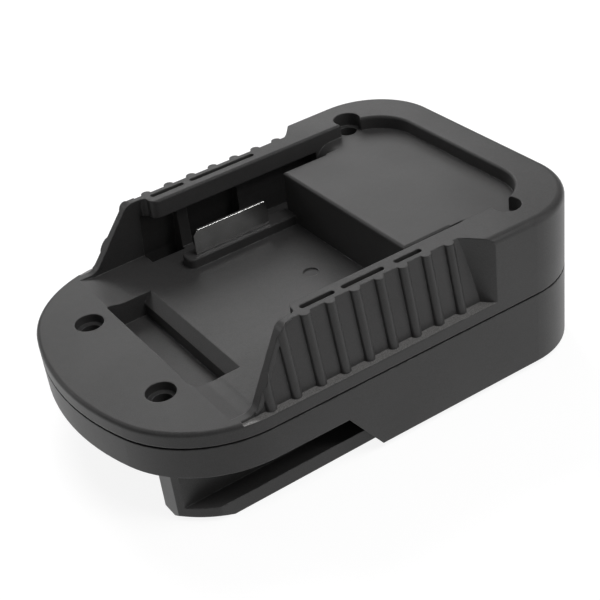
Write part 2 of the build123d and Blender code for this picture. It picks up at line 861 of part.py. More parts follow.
def lower_shell():
    """The tongue half: two flanged rails, the deck between them and the deep rear body."""
    body = outline_solid(0, 0, parting_z)
    body = chamfer(body.edges().group_by(Axis.Z)[0], bottom_bevel)
    body -= tongue_cutters()
    body -= channel_under()
    inside = lower_inner_space()
    for boss in lower_bosses():
        inside -= boss
    for rib in guide_ribs():
        inside -= rib
    body -= inside
    for sign in (1, -1):
        body += rod(station(spring_x), sign * keeper_post_y, parting_z - cut_margin, keeper_z,
                    keeper_post_radius)
        body -= rod(station(spring_x), sign * keeper_post_y, keeper_screw_tip_z - screw_fit,
                    keeper_z + cut_margin, screw_shank_radius + screw_fit)
    body -= latch_window()
    body -= button_window()
    body -= terminal_seat()
    for cut in lower_screw_bores():
        body -= cut
    return body


def screw(x, y, seat, tip):
    """A small-headed thread-forming screw with a six-lobed drive."""
    body = rod(x, y, tip, seat, screw_shank_radius)
    point = body.edges().filter_by(GeomType.CIRCLE).group_by(Axis.Z)[0]
    body = chamfer(point, screw_point_chamfer)
    head = rod(x, y, seat, seat + screw_head_height, screw_head_radius)
    rim = head.edges().filter_by(GeomType.CIRCLE).group_by(Axis.Z)[-1]
    head = fillet(rim, screw_head_fillet)
    drive_face = Pos(x, y, seat + screw_head_height - drive_depth) * RegularPolygon(drive_radius, 6)
    drive = extrude(drive_face, 2 * drive_depth, dir=(0, 0, 1))
    return body + head - drive


def housing_screws(front):
    """The pair of screws at the nose or at the rear."""
    seat = front_head_seat_z if front else rear_head_seat_z
    tip = front_screw_tip_z if front else rear_screw_tip_z
    return Compound(children=[screw(x, y, seat, tip) for x, y in screw_places(front)])


def keeper_screws():
    """The two screws that hold the latch keeper on its posts."""
    places = [(station(spring_x), sign * keeper_post_y) for sign in (1, -1)]
    return Compound(children=[screw(x, y, keeper_screw_seat_z, keeper_screw_tip_z)
                              for x, y in places])


def contact_blade(sign):
    """A flat battery contact with a clipped front corner and a narrower tail."""
    x0 = station(blade_front)
    x1 = x0 + blade_length
    tail_x0 = x0 + (blade_length - blade_tail_length) / 2
    points = (
        (x0, parting_z), (x0, blade_top_z - blade_corner), (x0 + blade_corner, blade_top_z),
        (x1 - blade_rear_corner, blade_top_z), (x1, blade_top_z - blade_rear_corner),
        (x1, parting_z), (tail_x0 + blade_tail_length, parting_z),
        (tail_x0 + blade_tail_length, blade_tail_z), (tail_x0, blade_tail_z),
        (tail_x0, parting_z),
    )
    y = sign * blade_centre_y
    blade = across(points, y - blade_thickness / 2, y + blade_thickness / 2)
    tops = blade.edges().filter_by(Axis.X).group_by(Axis.Z)[-1]
    return fillet(tops, blade_edge_fillet)


def blade_carrier(sign):
    """The moulded block under the floor that holds a contact's tail."""
    middle = station(blade_front) + blade_length / 2
    y = sign * blade_centre_y
    carrier = block(middle - carrier_length / 2, middle + carrier_length / 2,
                    y - carrier_width / 2, y + carrier_width / 2,
                    parting_z - carrier_height, parting_z)
    carrier = fillet(carrier.edges().filter_by(Axis.Z), carrier_corner_radius)
    tail = blade_tail_length / 2 + blade_slot_clearance
    carrier -= block(middle - tail, middle + tail, y - blade_slot_half, y + blade_slot_half,
                     0, overall_height)
    return carrier


def terminal_block():
    """The insulating block with slots for the tool's blades."""
    x0 = station(notch_end)
    x1 = x0 + terminal_block_length
    body = block(x0, x1, -terminal_block_half_width, terminal_block_half_width,
                 deck_z - terminal_block_proud, terminal_block_top_z)
    body = chamfer(body.edges().filter_by(Axis.Z).group_by(Axis.X)[0], terminal_block_chamfer)
    room = clip_gap / 2 + clip_relief + clip_leaf_thickness + terminal_block_seat
    room_z = deck_z + clip_room_floor
    half = terminal_slot_width / 2
    for y in terminal_positions:
        body -= block(x0 - cut_margin, x0 + terminal_slot_length, y - half, y + half, 0,
                      room_z + clip_height)
        body -= block(x0 + clip_setback - terminal_block_seat, x1 + cut_margin, y - room,
                      y + room, room_z, room_z + clip_height + 2 * terminal_block_seat)
    return body


def terminal_clip(y):
    """A spring clip of two leaves that grips a tool blade, with a solder tail."""
    x0 = station(notch_end) + clip_setback
    gap = clip_gap / 2
    wide = gap + clip_relief
    tight = gap - clip_relief / 2
    leaf = clip_leaf_thickness
    z0 = deck_z + clip_room_floor + terminal_block_seat
    z1 = z0 + clip_height
    back = x0 + clip_length
    pinch = x0 + clip_mouth_length
    settle = pinch + clip_mouth_length
    outer = Polyline(
        (x0, wide), (pinch, tight), (settle, wide), (back, wide), (back, wide + leaf),
        (settle, wide + leaf), (pinch, tight + leaf), (x0, wide + leaf), close=True)
    side = Pos(0, y, z0) * extrude(make_face(outer), z1 - z0, dir=(0, 0, 1))
    other = Pos(0, 2 * y, 0) * mirror(side, about=Plane.XZ)
    half = wide + leaf
    bridge = block(back - leaf, back, y - half, y + half, z0, z1)
    tail = block(back - leaf, back + clip_tail_length, y - leaf / 2, y + leaf / 2,
                 clip_tail_z, clip_tail_z + clip_tail_width)
    return side + other + bridge + tail


def bend_radius(before, corner, after):
    """The largest arc that the shorter of two runs leaves room for."""
    first = Vector(*corner) - Vector(*before)
    second = Vector(*after) - Vector(*corner)
    half_turn = radians(first.get_angle(second)) / 2
    return bend_share * min(first.length, second.length) / tan(half_turn)


def lead(points, radius):
    """An insulated lead inside the housing: straight runs joined by tangent arcs."""
    bends = [bend_radius(*points[n:n + 3]) for n in range(len(points) - 2)]
    path = FilletPolyline(*points, radius=bends).wire()
    start = Plane(origin=path @ 0, z_dir=path % 0)
    return sweep(start * Circle(radius), path=path)


def power_lead(sign):
    """The lead from a battery contact's tail to the tool clip on the same side."""
    block_rear = station(notch_end) + terminal_block_length
    beside = lead_radius + lead_clearance
    y_clip = sign * (abs(terminal_positions[0]) + clip_leaf_thickness / 2 + beside)
    z_clip = clip_tail_z + clip_tail_width / 2
    y_blade = sign * (blade_centre_y - blade_thickness / 2 - beside)
    z_blade = parting_z - carrier_height - beside
    tail_x = station(blade_front) + (blade_length - blade_tail_length) / 2
    points = (
        (block_rear + lead_start_gap, y_clip, z_clip),
        (block_rear + lead_first_run, y_clip, z_clip),
        (block_rear + lead_first_run + lead_rise_run, y_blade, z_blade),
        (tail_x + blade_tail_length / 2, y_blade, z_blade),
    )
    return lead(points, lead_radius)


def signal_resistor():
    """The small resistor that joins the signal clip to the clip beside it."""
    x = station(notch_end) + terminal_block_length + resistor_gap + resistor_radius
    z = clip_tail_z + clip_tail_width / 2
    near_y = terminal_positions[0] + clip_leaf_thickness / 2
    far_y = terminal_positions[1] - clip_leaf_thickness / 2
    middle_y = (near_y + far_y) / 2
    body = Pos(x, middle_y, z) * Rot(90, 0, 0) * Cylinder(resistor_radius, resistor_length)
    body = fillet(body.edges().filter_by(GeomType.CIRCLE), resistor_radius / 3)
    wire = Pos(x, middle_y, z) * Rot(90, 0, 0) * Cylinder(resistor_wire_radius, far_y - near_y)
    return body + wire


def latch_tab():
    """The catch at the latch's front, sloped so that a tool rides over it."""
    x0 = station(latch_front)
    x1 = x0 + latch_tab_length
    low_z = deck_z - latch_tab_reach
    root_z = latch_plate_z + latch_plate_thickness / 2
    profile = ((x0, root_z), (x0, deck_z), (x0 + latch_tab_slope, low_z), (x1, low_z), (x1, root_z))
    return across(profile, -latch_tab_half_width, latch_tab_half_width)


def spring_cup(sign):
    """The cup and centre post that hold a spring's lower end."""
    x = station(spring_x)
    y = sign * spring_y
    root_z = latch_top_z - latch_plate_thickness / 2
    cup = rod(x, y, root_z, latch_top_z + spring_cup_height, spring_cup_radius)
    cup -= rod(x, y, latch_top_z, latch_top_z + 2 * spring_cup_height,
               spring_cup_radius - spring_cup_wall)
    return cup + rod(x, y, root_z, latch_top_z + spring_post_height, spring_post_radius)


def latch_slider():
    """The latch: a tab that catches the tool, a plate, spring cups and the button's arm."""
    x0 = station(latch_front)
    plate = block(x0, latch_rear_x, -latch_half_width, latch_half_width, latch_plate_z,
                  latch_top_z)
    plate = fillet(plate.edges().filter_by(Axis.Z), latch_plate_corner)
    clear_of_cups = spring_cup_radius + latch_opening_margin
    for start, end in ((x0 + latch_tab_length + latch_opening_margin,
                        station(spring_x) - clear_of_cups),
                       (station(spring_x) + clear_of_cups,
                        latch_rear_x - latch_arm_thickness - latch_opening_margin)):
        opening = block(start, end, -latch_opening_half_width, latch_opening_half_width,
                        latch_plate_z - cut_margin, latch_top_z + cut_margin)
        plate -= fillet(opening.edges().filter_by(Axis.Z), latch_opening_corner)
    arm_half = button_half_width + button_clearance + latch_arm_overlap
    arm = block(latch_rear_x - latch_arm_thickness, latch_rear_x, -arm_half, arm_half,
                button_bottom_z - button_clearance - latch_arm_overlap,
                button_bottom_z + button_height + latch_travel + button_clearance
                + latch_arm_overlap)
    rim = block(x0 + latch_rim_setback, latch_rear_x - latch_rim_setback,
                latch_half_width - latch_rim_width, latch_half_width, latch_plate_z,
                latch_top_z + latch_rim_height)
    foot = block(x0, x0 + latch_foot_length, latch_tab_half_width + 2 * latch_tab_clearance,
                 latch_half_width - latch_plate_corner, deck_top_z, latch_plate_z)
    return (plate + latch_tab() + arm + both_sides(rim + foot) + spring_cup(1)
            + spring_cup(-1))


def latch_button():
    """The release button at the rear, with grip ridges."""
    face_x = rear_x - button_recess
    cap = block(latch_rear_x, face_x, -button_half_width, button_half_width, button_bottom_z,
                button_bottom_z + button_height)
    cap = fillet(cap.edges().filter_by(Axis.X), button_corner_radius)
    cap = fillet(cap.edges().group_by(Axis.X)[-1], button_face_fillet)
    pitch = button_height / (button_grip_count + 1)
    ridge = Cylinder(button_grip_radius, 2 * (button_half_width - button_grip_inset))
    for number in range(button_grip_count):
        z = button_bottom_z + pitch * (number + 1)
        cap += Pos(face_x, 0, z) * Rot(90, 0, 0) * ridge
    return cap


def latch_spring(sign):
    """A compression spring between the latch and its keeper."""
    height = keeper_z - latch_top_z - 2 * spring_wire_radius
    pitch = height / spring_turns
    coil = Helix(pitch=pitch, height=height, radius=spring_radius - spring_wire_radius)
    start = Plane(origin=coil @ 0, z_dir=coil % 0)
    wire = sweep(start * Circle(spring_wire_radius), path=coil, is_frenet=True)
    return Pos(station(spring_x), sign * spring_y, latch_top_z + spring_wire_radius) * wire


def latch_keeper():
    """The bridge over the latch that its springs push against."""
    x = station(spring_x)
    bridge = block(x - keeper_half_length, x + keeper_half_length, -keeper_half_width,
                   keeper_half_width, keeper_z, keeper_screw_seat_z)
    bridge = fillet(bridge.edges().filter_by(Axis.Z), keeper_corner_radius)
    outer = keeper_half_length - keeper_rim_inset
    inner = outer - keeper_rim_wall
    rim = block(x - outer, x + outer, -keeper_rim_half_width, keeper_rim_half_width,
                keeper_z, keeper_screw_seat_z + keeper_rim_height)
    inside = keeper_rim_half_width - keeper_rim_wall
    rim -= block(x - inner, x + inner, -inside, inside, 0, overall_height)
    keeper = bridge + rim
    for sign in (1, -1):
        keeper -= rod(x, sign * keeper_post_y, 0, overall_height, screw_clear_radius)
        keeper += rod(x, sign * spring_y, keeper_z - spring_post_height, keeper_screw_seat_z,
                      spring_post_radius)
    return keeper


def build_all():
    """Every sub-part, by its node name."""
    side_names = ((1, "far"), (-1, "near"))
    parts = {
        "upper_shell": upper_shell(),
        "lower_shell": lower_shell(),
        "front_housing_screws": housing_screws(True),
        "rear_housing_screws": housing_screws(False),
        "tool_terminal_block": terminal_block(),
        "latch_slider": latch_slider(),
        "release_button": latch_button(),
        "latch_keeper": latch_keeper(),
        "latch_keeper_screws": keeper_screws(),
    }
    for sign, name in side_names:
        parts[f"{name}_battery_contact"] = contact_blade(sign)
        parts[f"{name}_contact_carrier"] = blade_carrier(sign)
        parts[f"{name}_power_lead"] = power_lead(sign)
        parts[f"{name}_latch_spring"] = latch_spring(sign)
    parts["signal_resistor"] = signal_resistor()
    for y, name in zip(terminal_positions, ("near", "signal", "far")):
        parts[f"{name}_tool_clip"] = terminal_clip(y)
    return parts


os.makedirs("parts", exist_ok=True)
for node_name, node_shape in build_all().items():
    export_step(node_shape, f"parts/{node_name}.step")
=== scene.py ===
import logging
from collections.abc import Callable
from dataclasses import dataclass, field
from enum import Enum
from math import cos, pi, radians, tau

import bmesh
import bpy
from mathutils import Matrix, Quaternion, Vector


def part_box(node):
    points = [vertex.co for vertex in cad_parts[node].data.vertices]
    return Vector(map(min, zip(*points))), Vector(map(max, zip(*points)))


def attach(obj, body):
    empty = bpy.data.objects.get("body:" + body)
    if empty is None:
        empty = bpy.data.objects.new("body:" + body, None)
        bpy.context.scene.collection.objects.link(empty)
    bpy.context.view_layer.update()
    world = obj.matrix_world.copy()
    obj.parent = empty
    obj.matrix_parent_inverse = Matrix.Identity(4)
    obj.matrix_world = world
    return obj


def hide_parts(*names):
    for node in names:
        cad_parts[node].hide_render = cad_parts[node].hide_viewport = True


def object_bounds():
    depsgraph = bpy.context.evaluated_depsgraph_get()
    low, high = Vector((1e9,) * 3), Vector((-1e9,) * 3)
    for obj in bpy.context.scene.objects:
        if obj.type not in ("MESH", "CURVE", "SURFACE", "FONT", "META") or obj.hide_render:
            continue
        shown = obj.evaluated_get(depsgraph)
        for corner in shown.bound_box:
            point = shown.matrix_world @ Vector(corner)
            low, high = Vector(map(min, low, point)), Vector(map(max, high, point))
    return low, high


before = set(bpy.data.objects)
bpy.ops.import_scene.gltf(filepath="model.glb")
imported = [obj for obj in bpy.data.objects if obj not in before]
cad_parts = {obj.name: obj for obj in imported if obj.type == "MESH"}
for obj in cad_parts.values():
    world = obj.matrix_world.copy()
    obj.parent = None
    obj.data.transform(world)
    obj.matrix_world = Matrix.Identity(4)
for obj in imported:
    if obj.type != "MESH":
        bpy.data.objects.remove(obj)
cad_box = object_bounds()

log = logging.getLogger("battery_adapter")

Socket = bpy.types.NodeSocket
Colour = tuple[float, float, float]
Point = tuple[float, float, float]
Band = tuple[float, float]

MM = 0.001
PICTURE_SIZE = 600
HOUSING = "housing"
SCREW_NODES = ("front_housing_screws", "rear_housing_screws")

# The values of a noise between which a finish changes, because few lie further out
WIDE_BAND: Band = (0.3, 0.7)
CORE_BAND: Band = (0.35, 0.65)

# A rounded edge is where the rounded normal leaves the face's own by this cosine
EDGE_BAND: Band = (0.99, 0.80)
EDGE_SAMPLES = 8

# How far up a face looks to count as level, and how near two heights are to be one
LEVEL_NORMAL = 0.9
SAME_HEIGHT = 0.01 * MM


class Pattern(Enum):
    """Which coordinates a pattern is drawn along."""

    EVEN = (1.0, 1.0, 1.0)
    ALONG_X = (0.04, 1.0, 1.0)


class Slot(Enum):
    """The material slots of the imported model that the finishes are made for."""

    SHELL = "shell_plastic"
    TERMINALS = "terminal_plastic"
    LATCH = "latch_plastic"
    BUTTON = "button_plastic"
    CONTACTS = "contact_metal"
    CLIPS = "clip_metal"
    SCREWS = "screw_steel"
    SPRINGS = "spring_steel"
    RESISTOR = "resistor_body"
    RED_LEAD = "red_insulation"
    BLACK_LEAD = "black_insulation"


def grey(level: float) -> Colour:
    """A neutral colour of one linear level."""
    return (level, level, level)


def shaded(colour: Colour, share: float) -> Colour:
    """The same colour made darker or lighter by a factor."""
    return tuple(part * share for part in colour)


class Graph:
    """The node tree of a material or world, with short calls for the nodes that they share."""

    def __init__(self, owner: bpy.types.Material | bpy.types.World) -> None:
        """Starts an empty node tree.

        Args:
            owner: The material or world that the tree belongs to.
        """
        self.owner = owner
        owner.use_nodes = True
        self.tree = owner.node_tree
        self.tree.nodes.clear()

    def add(self, kind: str, inputs: dict | None = None, **settings: object) -> bpy.types.Node:
        """Adds a node and fills its sockets.

        Args:
            kind: The node's type name.
            inputs: Values or sockets by the input's name or number.
            **settings: The node's own properties.

        Returns:
            The new node.
        """
        node = self.tree.nodes.new(kind)
        for name, value in settings.items():
            setattr(node, name, value)
        for name, value in (inputs or {}).items():
            self.fill(node.inputs[name], value)
        return node

    def fill(self, target: Socket, value: object) -> None:
        """Links a socket, or sets its constant.

        Args:
            target: The input that is filled.
            value: A socket, a number, or a colour or vector.
        """
        if isinstance(value, bpy.types.NodeSocket):
            self.tree.links.new(value, target)
        elif isinstance(value, tuple) and target.type == "RGBA" and len(value) == 3:
            target.default_value = (*value, 1.0)
        else:
            target.default_value = value

    def coordinates(self, stretch: Pattern = Pattern.EVEN) -> Socket:
        """The piece's own coordinates in metres.

        Args:
            stretch: The axis along which a grain is drawn out.

        Returns:
            The coordinates.
        """
        source = self.add("ShaderNodeTexCoord").outputs["Object"]
        mapping = self.add("ShaderNodeMapping", {"Vector": source, "Scale": stretch.value})
        return mapping.outputs["Vector"]

    def noise(self, vector: Socket, size: float, layers: float = 2.0) -> Socket:
        """A noise between 0 and 1.

        Args:
            vector: The coordinates that it follows.
            size: The size of its blotches in metres.
            layers: How many finer layers it has.

        Returns:
            The noise value.
        """
        inputs = {"Vector": vector, "Scale": 1.0 / size, "Detail": layers}
        return self.add("ShaderNodeTexNoise", inputs).outputs["Fac"]

    def span(self, value: Socket, source: Band, target: Band = (0.0, 1.0)) -> Socket:
        """Maps one band of values to another, with the ends held.

        Args:
            value: The value that is mapped.
            source: The inputs that give the two ends of the target.
            target: The two outputs.

        Returns:
            The mapped value.
        """
        inputs = {"Value": value, "From Min": source[0], "From Max": source[1],
                  "To Min": target[0], "To Max": target[1]}
        return self.add("ShaderNodeMapRange", inputs, clamp=True).outputs["Result"]

    def math(self, operation: str, first: object, second: object = 0.0) -> Socket:
        """One step of arithmetic on two values."""
        return self.add("ShaderNodeMath", {0: first, 1: second}, operation=operation).outputs[0]

    def blend(self, factor: object, first: object, second: object) -> Socket:
        """Mixes two colours.

        Args:
            factor: 0 for the first colour and 1 for the second.
            first: The first colour.
            second: The second colour.

        Returns:
            The mix.
        """
        node = self.add("ShaderNodeMix", data_type="RGBA")
        for socket, value in zip((node.inputs[0], node.inputs[6], node.inputs[7]),
                                 (factor, first, second)):
            self.fill(socket, value)
        return node.outputs[2]

    def split(self, vector: Socket) -> tuple[Socket, Socket, Socket]:
        """The three parts of a vector."""
        node = self.add("ShaderNodeSeparateXYZ", {"Vector": vector})
        return node.outputs["X"], node.outputs["Y"], node.outputs["Z"]

    def soft_edges(self, radius: float) -> tuple[Socket, Socket]:
        """Rounds the shading of sharp edges.

        Args:
            radius: The radius of the rounding in metres.

        Returns:
            The rounded normal, and a mask that is 1 on the edges and 0 on the faces.
        """
        rounded = self.add("ShaderNodeBevel", {"Radius": radius}, samples=EDGE_SAMPLES)
        flat = self.add("ShaderNodeNewGeometry").outputs["Normal"]
        dot = self.add("ShaderNodeVectorMath", {0: rounded.outputs["Normal"], 1: flat},
                       operation="DOT_PRODUCT")
        return rounded.outputs["Normal"], self.span(dot.outputs["Value"], EDGE_BAND)

    def bump(self, height: Socket, depth: float, normal: Socket) -> Socket:
        """Bends the normal by a height field.

        Args:
            height: The height, between 0 and 1.
            depth: What a height of 1 measures in metres.
            normal: The normal that it starts from.

        Returns:
            The bent normal.
        """
        inputs = {"Height": height, "Distance": depth, "Normal": normal}
        return self.add("ShaderNodeBump", inputs).outputs["Normal"]

    def surface(self, inputs: dict) -> bpy.types.Material:
        """Ends the tree in a Principled shader.

        Args:
            inputs: Values or sockets by the shader's input names.

        Returns:
            The finished material.
        """
        shader = self.add("ShaderNodeBsdfPrincipled", inputs)
        self.add("ShaderNodeOutputMaterial", {"Surface": shader.outputs["BSDF"]})
        return self.owner


@dataclass(frozen=True)
class LedgeGrainAndPaintedLight:
    """Painted light on the level ledges along both sides of a shell: a paler colour on their
    upward faces, broken up by a coarser grain.
    """

    node: str
    drop: float = 15.1 * MM
    reach: float = 5.78 * MM
    margin: float = 0.12 * MM
    level_normal: float = 0.999
    # Painted light: the paler colour of the upward-facing ledges
    colour: Colour = (0.24, 0.235, 0.23)
    cover: Band = (0.35, 1.0)

    def mask(self, graph: Graph, place: Socket) -> Socket:
        """Marks the upward faces of the ledges, where the light is painted, by their depth below
        the shell's top and their distance from its sides.

        Args:
            graph: The material's node tree.
            place: The piece's own coordinates.

        Returns:
            1 on the ledges and 0 elsewhere.
        """
        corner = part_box(self.node)[1]
        _, across, up = graph.split(place)
        away = graph.math("ABSOLUTE", graph.math("SUBTRACT", up, corner.z - self.drop))
        near = graph.math("LESS_THAN", away, self.margin)
        outside = graph.math("GREATER_THAN", graph.math("ABSOLUTE", across),
                             corner.y - self.reach)
        normal = graph.add("ShaderNodeNewGeometry").outputs["True Normal"]
        level = graph.math("GREATER_THAN", graph.split(normal)[2], self.level_normal)
        return graph.math("MULTIPLY", graph.math("MULTIPLY", near, outside), level)


@dataclass(frozen=True)
class MouldedPlastic:
    """Black moulded plastic: a fine spark grain, cloudy gloss, paler edges that are partly wear
    and partly a painted highlight, and painted light on the ledges where a shell has them.
    """

    name: str
    base: Colour
    # The edge colour: partly wear, partly a painted highlight
    worn_and_highlit: Colour
    roughness: Band = (0.36, 0.46)
    cloud_size: float = 22 * MM
    mottle_size: float = 1.6 * MM
    mottle_share: float = 0.2
    grain_size: float = 0.22 * MM
    grain_depth: float = 0.012 * MM
    speckle_band: Band = (0.36, 0.64)
    shade_spread: float = 0.14
    edge_radius: float = 0.34 * MM
    # How far the edges go towards the colour of wear and painted highlight
    edge_wear_and_highlight: float = 0.85
    edge_polish: float = 0.12
    refraction: float = 1.49
    sheen: float = 0.4
    ledge_grain_and_light: LedgeGrainAndPaintedLight | None = None

    def build(self) -> bpy.types.Material:
        """Makes the material.

        Returns:
            The plastic.
        """
        graph = Graph(bpy.data.materials.new(self.name))
        place = graph.coordinates()
        cloud = graph.noise(place, self.cloud_size, layers=3.0)
        mottle = graph.noise(place, self.mottle_size, layers=3.0)
        grain = graph.noise(place, self.grain_size)
        rounded, edge = graph.soft_edges(self.edge_radius)
        speckled = graph.math("ADD", graph.math("MULTIPLY", mottle, self.mottle_share),
                              graph.math("MULTIPLY", grain, 1.0 - self.mottle_share))
        body = graph.blend(graph.span(speckled, self.speckle_band),
                           shaded(self.base, 1.0 - self.shade_spread),
                           shaded(self.base, 1.0 + self.shade_spread))
        # Wear and painted highlight: the edges turn paler where the mottle says so
        rubbed_and_highlit = graph.math("MULTIPLY", edge,
                            graph.span(mottle, CORE_BAND, (0.0, self.edge_wear_and_highlight)))
        colour = graph.blend(rubbed_and_highlit, body, self.worn_and_highlit)
        # Painted light: the level ledges turn paler, broken up by the grain
        if self.ledge_grain_and_light:
            ledge_painted_light = graph.math("MULTIPLY", self.ledge_grain_and_light.mask(graph, place),
                               graph.span(grain, CORE_BAND, self.ledge_grain_and_light.cover))
            colour = graph.blend(ledge_painted_light, colour, self.ledge_grain_and_light.colour)
        gloss = graph.math("SUBTRACT", graph.span(cloud, WIDE_BAND, self.roughness),
                           graph.math("MULTIPLY", rubbed_and_highlit, self.edge_polish))
        return graph.surface({"Base Color": colour, "Roughness": gloss,
                              "Normal": graph.bump(grain, self.grain_depth, rounded),
                              "IOR": self.refraction, "Specular IOR Level": self.sheen})


@dataclass(frozen=True)
class SheetMetal:
    """Rolled and plated sheet: fine rolling lines, cloudy gloss and edges painted brighter as a
    highlight.
    """

    name: str
    base: Colour
    # The painted highlight colour of the rounded edges
    edge: Colour
    roughness: Band = (0.22, 0.36)
    gloss_band: Band = (0.7, 1.3)
    dull_share: float = 0.82
    line_size: float = 0.16 * MM
    line_depth: float = 0.003 * MM
    cloud_size: float = 5 * MM
    edge_radius: float = 0.1 * MM

    def build(self) -> bpy.types.Material:
        """Makes the material.

        Returns:
            The metal.
        """
        graph = Graph(bpy.data.materials.new(self.name))
        lines = graph.noise(graph.coordinates(Pattern.ALONG_X), self.line_size, layers=3.0)
        cloud = graph.noise(graph.coordinates(), self.cloud_size, layers=3.0)
        rounded, edge = graph.soft_edges(self.edge_radius)
        body = graph.blend(graph.span(cloud, CORE_BAND), shaded(self.base, self.dull_share),
                           self.base)
        gloss = graph.span(graph.math("ADD", lines, cloud), self.gloss_band, self.roughness)
        # Painted highlight: the edges take the brighter edge colour
        return graph.surface({"Base Color": graph.blend(edge, body, self.edge),
                              "Roughness": gloss, "Metallic": 1.0,
                              "Normal": graph.bump(lines, self.line_depth, rounded)})


@dataclass(frozen=True)
class Wire:
    """Drawn wire, coated steel or a lead's sleeve: fine marks and a mottled coating."""

    name: str
    base: Colour
    patch: Colour
    metallic: float = 1.0
    roughness: Band = (0.25, 0.42)
    mark_size: float = 0.3 * MM
    mark_depth: float = 0.004 * MM
    patch_size: float = 1.8 * MM
    patch_band: Band = (0.4, 0.65)
    edge_radius: float = 0.08 * MM

    def build(self) -> bpy.types.Material:
        """Makes the material.

        Returns:
            The coating.
        """
        graph = Graph(bpy.data.materials.new(self.name))
        place = graph.coordinates()
        marks = graph.noise(place, self.mark_size, layers=3.0)
        patches = graph.noise(place, self.patch_size)
        colour = graph.blend(graph.span(patches, self.patch_band), self.base, self.patch)
        rounded, _ = graph.soft_edges(self.edge_radius)
        return graph.surface({"Base Color": colour, "Metallic": self.metallic,
                              "Roughness": graph.span(marks, CORE_BAND, self.roughness),
                              "Normal": graph.bump(marks, self.mark_depth, rounded)})


@dataclass(frozen=True)
class BandedResistor:
    """Lacquered ceramic with painted rings across the part's length."""

    name: str
    node: str
    lacquer: Colour
    rings: tuple[Colour, ...]
    ring_pitch: float = 1.1 * MM
    ring_width: float = 0.5 * MM
    ring_blur: float = 0.05 * MM
    mottle_size: float = 0.5 * MM
    mottle_depth: float = 0.01 * MM
    dull_share: float = 0.6
    dull_cover: Band = (0.0, 0.4)
    roughness: Band = (0.2, 0.4)
    edge_radius: float = 0.3 * MM

    def build(self) -> bpy.types.Material:
        """Makes the material, with the rings round the middle of the node.

        Returns:
            The lacquer with its rings.
        """
        low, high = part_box(self.node)
        first = (low.y + high.y - self.ring_pitch * (len(self.rings) - 1)) / 2
        half = self.ring_width / 2
        graph = Graph(bpy.data.materials.new(self.name))
        place = graph.coordinates()
        along = graph.split(place)[1]
        mottle = graph.noise(place, self.mottle_size)
        colour = graph.blend(graph.span(mottle, WIDE_BAND, self.dull_cover), self.lacquer,
                             shaded(self.lacquer, self.dull_share))
        for number, ring in enumerate(self.rings):
            middle = first + number * self.ring_pitch
            away = graph.math("ABSOLUTE", graph.math("SUBTRACT", along, middle))
            inside = graph.span(away, (half, half - self.ring_blur))
            colour = graph.blend(inside, colour, ring)
        rounded, _ = graph.soft_edges(self.edge_radius)
        return graph.surface({"Base Color": colour,
                              "Roughness": graph.span(mottle, WIDE_BAND, self.roughness),
                              "Normal": graph.bump(mottle, self.mottle_depth, rounded)})


@dataclass
class FinishSet:
    """The finish of every material slot, made once and shared by the pieces."""

    materials: dict[Slot, bpy.types.Material] = field(default_factory=dict)

    def build(self) -> None:
        """Makes the materials of all slots."""
        finishes = {
            # Each plastic's second colour is its edge colour, partly wear and partly a painted
            # highlight; the shell's ledges also get painted light
            Slot.SHELL: MouldedPlastic("shell_black", (0.056, 0.055, 0.055), grey(0.17),
                                       ledge_grain_and_light=LedgeGrainAndPaintedLight("upper_shell")),
            Slot.TERMINALS: MouldedPlastic("terminal_black", grey(0.035), grey(0.09),
                                           roughness=(0.3, 0.42), edge_radius=0.15 * MM),
            Slot.LATCH: MouldedPlastic("latch_black", grey(0.045), grey(0.1),
                                       roughness=(0.34, 0.48), edge_radius=0.2 * MM),
            Slot.BUTTON: MouldedPlastic("button_black", grey(0.05), grey(0.12),
                                        grain_depth=0.018 * MM, edge_radius=0.3 * MM),
            # Each sheet metal's second colour is a painted highlight on its edges
            Slot.CONTACTS: SheetMetal("contact_nickel", (0.86, 0.86, 0.85), grey(0.97),
                                      roughness=(0.12, 0.2)),
            Slot.CLIPS: SheetMetal("clip_tin", (0.68, 0.67, 0.64), grey(0.9)),
            Slot.SCREWS: Wire("screw_black_zinc", grey(0.06), grey(0.10)),
            Slot.SPRINGS: Wire("spring_wire", (0.52, 0.5, 0.47), (0.42, 0.4, 0.37)),
            Slot.RESISTOR: BandedResistor("resistor_lacquer", "signal_resistor",
                                          (0.45, 0.33, 0.2),
                                          ((0.25, 0.1, 0.03), grey(0.02), (0.5, 0.05, 0.03),
                                           (0.45, 0.3, 0.05))),
            Slot.RED_LEAD: Wire("lead_red", (0.42, 0.02, 0.018), (0.32, 0.015, 0.014),
                                metallic=0.0, roughness=(0.35, 0.5)),
            Slot.BLACK_LEAD: Wire("lead_black", grey(0.02), grey(0.03), metallic=0.0,
                                  roughness=(0.35, 0.5)),
        }
        for slot, finish in finishes.items():
            self.materials[slot] = finish.build()

    def dress(self, piece: bpy.types.Object, slot: Slot) -> None:
        """Gives a piece one finish all over.

        Args:
            piece: The mesh object.
            slot: The slot whose finish it takes.
        """
        piece.data.materials.clear()
        piece.data.materials.append(self.materials[slot])

    def dress_nodes(self) -> None:
        """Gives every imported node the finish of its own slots."""
        known = {slot.value: slot for slot in Slot}
        for name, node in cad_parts.items():
            for place in node.material_slots:
                slot = known[place.material.name.split(".")[0]]
                place.material = self.materials[slot]
                log.info("node %s takes %s", name, slot.value)


def deselect_all() -> None:
    """Leaves nothing selected, so that an operator acts on the new piece alone."""
    for item in bpy.context.selected_objects:
        item.select_set(False)


def select_faces(piece: bpy.types.Object, wanted: Callable[[bmesh.types.BMFace], bool]) -> None:
    """Selects the faces that pass a test.

    Args:
        piece: The mesh object in edit mode.
        wanted: The test of one face.
    """
    mesh = bmesh.from_edit_mesh(piece.data)
    for face in mesh.faces:
        face.select_set(wanted(face))
    bmesh.update_edit_mesh(piece.data)


